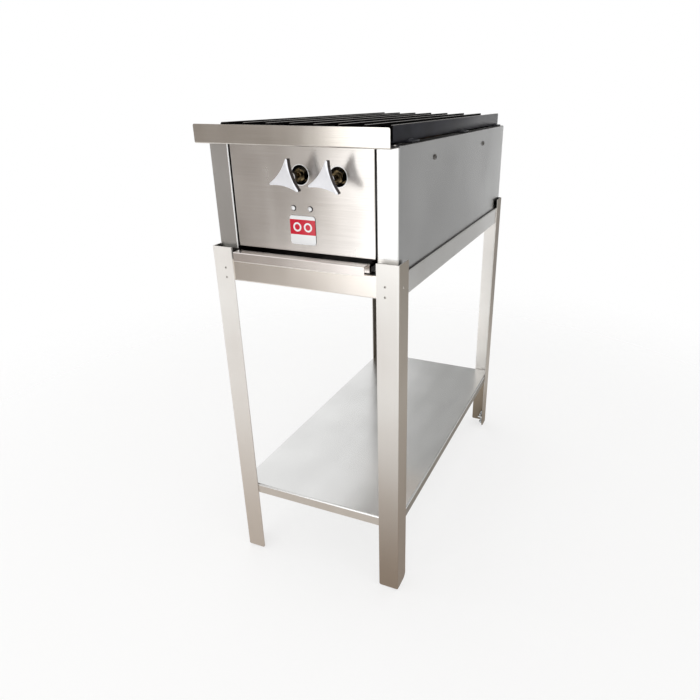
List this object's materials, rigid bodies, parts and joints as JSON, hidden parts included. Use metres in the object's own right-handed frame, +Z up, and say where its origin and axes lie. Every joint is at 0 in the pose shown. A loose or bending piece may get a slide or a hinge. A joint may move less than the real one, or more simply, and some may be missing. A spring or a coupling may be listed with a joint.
{
  "type": "two burner gas stove",
  "caption": "Narrow stainless gas stove on an open stand: front and rear ring burners under a barred grate, pointed valve knobs, drip tray and lower shelf.",
  "frame": {"origin": "on the floor, in the middle of the part's bounding box", "axes": "+X to the cook's right, -Y the front with the knobs, +Z up"},
  "size_m": [0.3668, 0.7912, 0.9],
  "materials": {
    "stainless": "brushed",
    "grate_black": "satin",
    "cast_iron": "as cast",
    "brass": "turned",
    "zinc": "zinc plated",
    "knob_aluminium": "cast, tumbled",
    "pipe": "satin",
    "badge": "gloss"
  },
  "bodies": {
    "stove": {"back_panel": "stainless", "badge_plate": "badge", "burner_front": "cast_iron", "burner_rear": "cast_iron", "burner_support_front": "stainless", "burner_support_rear": "stainless", "casing_nuts": "zinc", "casing_rivets": "stainless", "casing_screws": "zinc", "clamp_bolts": "zinc", "clamp_nuts": "zinc", "foot_brackets": "stainless", "foot_nuts": "zinc", "front_ledge": "stainless", "front_panel": "stainless", "front_rail": "stainless", "gas_manifold": "pipe", "inlet_elbow": "pipe", "inlet_fitting": "brass", "inlet_pipe": "pipe", "left_rail": "stainless", "left_side_panel": "stainless", "leg_front_left": "stainless", "leg_front_right": "stainless", "leg_rear_left": "stainless", "leg_rear_right": "stainless", "lower_shelf": "stainless", "manifold_clamp": "stainless", "manifold_plug": "pipe", "orifice_spuds": "brass", "rear_rail": "stainless", "right_rail": "stainless", "right_side_panel": "stainless", "shutter_screws": "zinc", "stand_rivets": "stainless", "support_nuts": "zinc", "support_screws": "zinc", "tray_runner_left": "stainless", "tray_runner_right": "stainless", "valve_body_front": "brass", "valve_body_rear": "brass", "valve_bonnets": "brass"},
    "front_knob": {"knob_front": "knob_aluminium", "knob_screw_front": "zinc", "valve_stem_front": "brass"},
    "rear_knob": {"knob_rear": "knob_aluminium", "knob_screw_rear": "zinc", "valve_stem_rear": "brass"},
    "tray": {"drip_tray": "stainless"},
    "grate": {"grate_bars": "grate_black", "grate_straps": "grate_black"},
    "front_shutter": {"air_shutter_front": "stainless"},
    "rear_shutter": {"air_shutter_rear": "stainless"},
    "foot_front_left": {"levelling_foot_front_left": "zinc"},
    "foot_front_right": {"levelling_foot_front_right": "zinc"},
    "foot_rear_left": {"levelling_foot_rear_left": "zinc"},
    "foot_rear_right": {"levelling_foot_rear_right": "zinc"}
  },
  "joints": [
    {"name": "front_knob_turn", "type": "hinge", "parent": "stove", "child": "front_knob", "pos_m": [0, -0.36435, 0.822], "axis": [0, -1, 0], "range_deg": [0, 90]},
    {"name": "front_shutter_turn", "type": "hinge", "parent": "stove", "child": "front_shutter", "pos_m": [0, -0.27635, 0.822], "axis": [0, 1, 0], "range_deg": [0, 45]},
    {"name": "rear_knob_turn", "type": "hinge", "parent": "stove", "child": "rear_knob", "pos_m": [0.07, -0.36435, 0.822], "axis": [0, -1, 0], "range_deg": [0, 90]},
    {"name": "rear_shutter_turn", "type": "hinge", "parent": "stove", "child": "rear_shutter", "pos_m": [0.07, -0.27635, 0.822], "axis": [0, 1, 0], "range_deg": [0, 45]},
    {"name": "tray_slide", "type": "slide", "parent": "stove", "child": "tray", "axis": [0, -1, 0], "range_m": [0, 0.58]},
    {"name": "grate_lift", "type": "slide", "parent": "stove", "child": "grate", "axis": [0, 0, 1], "range_m": [0, 0.12]},
    {"name": "front_left_foot_screw", "type": "slide", "parent": "stove", "child": "foot_front_left", "axis": [0, 0, -1], "range_m": [-0.005, 0.01]},
    {"name": "front_right_foot_screw", "type": "slide", "parent": "stove", "child": "foot_front_right", "axis": [0, 0, -1], "range_m": [-0.005, 0.01]},
    {"name": "rear_left_foot_screw", "type": "slide", "parent": "stove", "child": "foot_rear_left", "axis": [0, 0, -1], "range_m": [-0.005, 0.01]},
    {"name": "rear_right_foot_screw", "type": "slide", "parent": "stove", "child": "foot_rear_right", "axis": [0, 0, -1], "range_m": [-0.005, 0.01]}
  ]
}
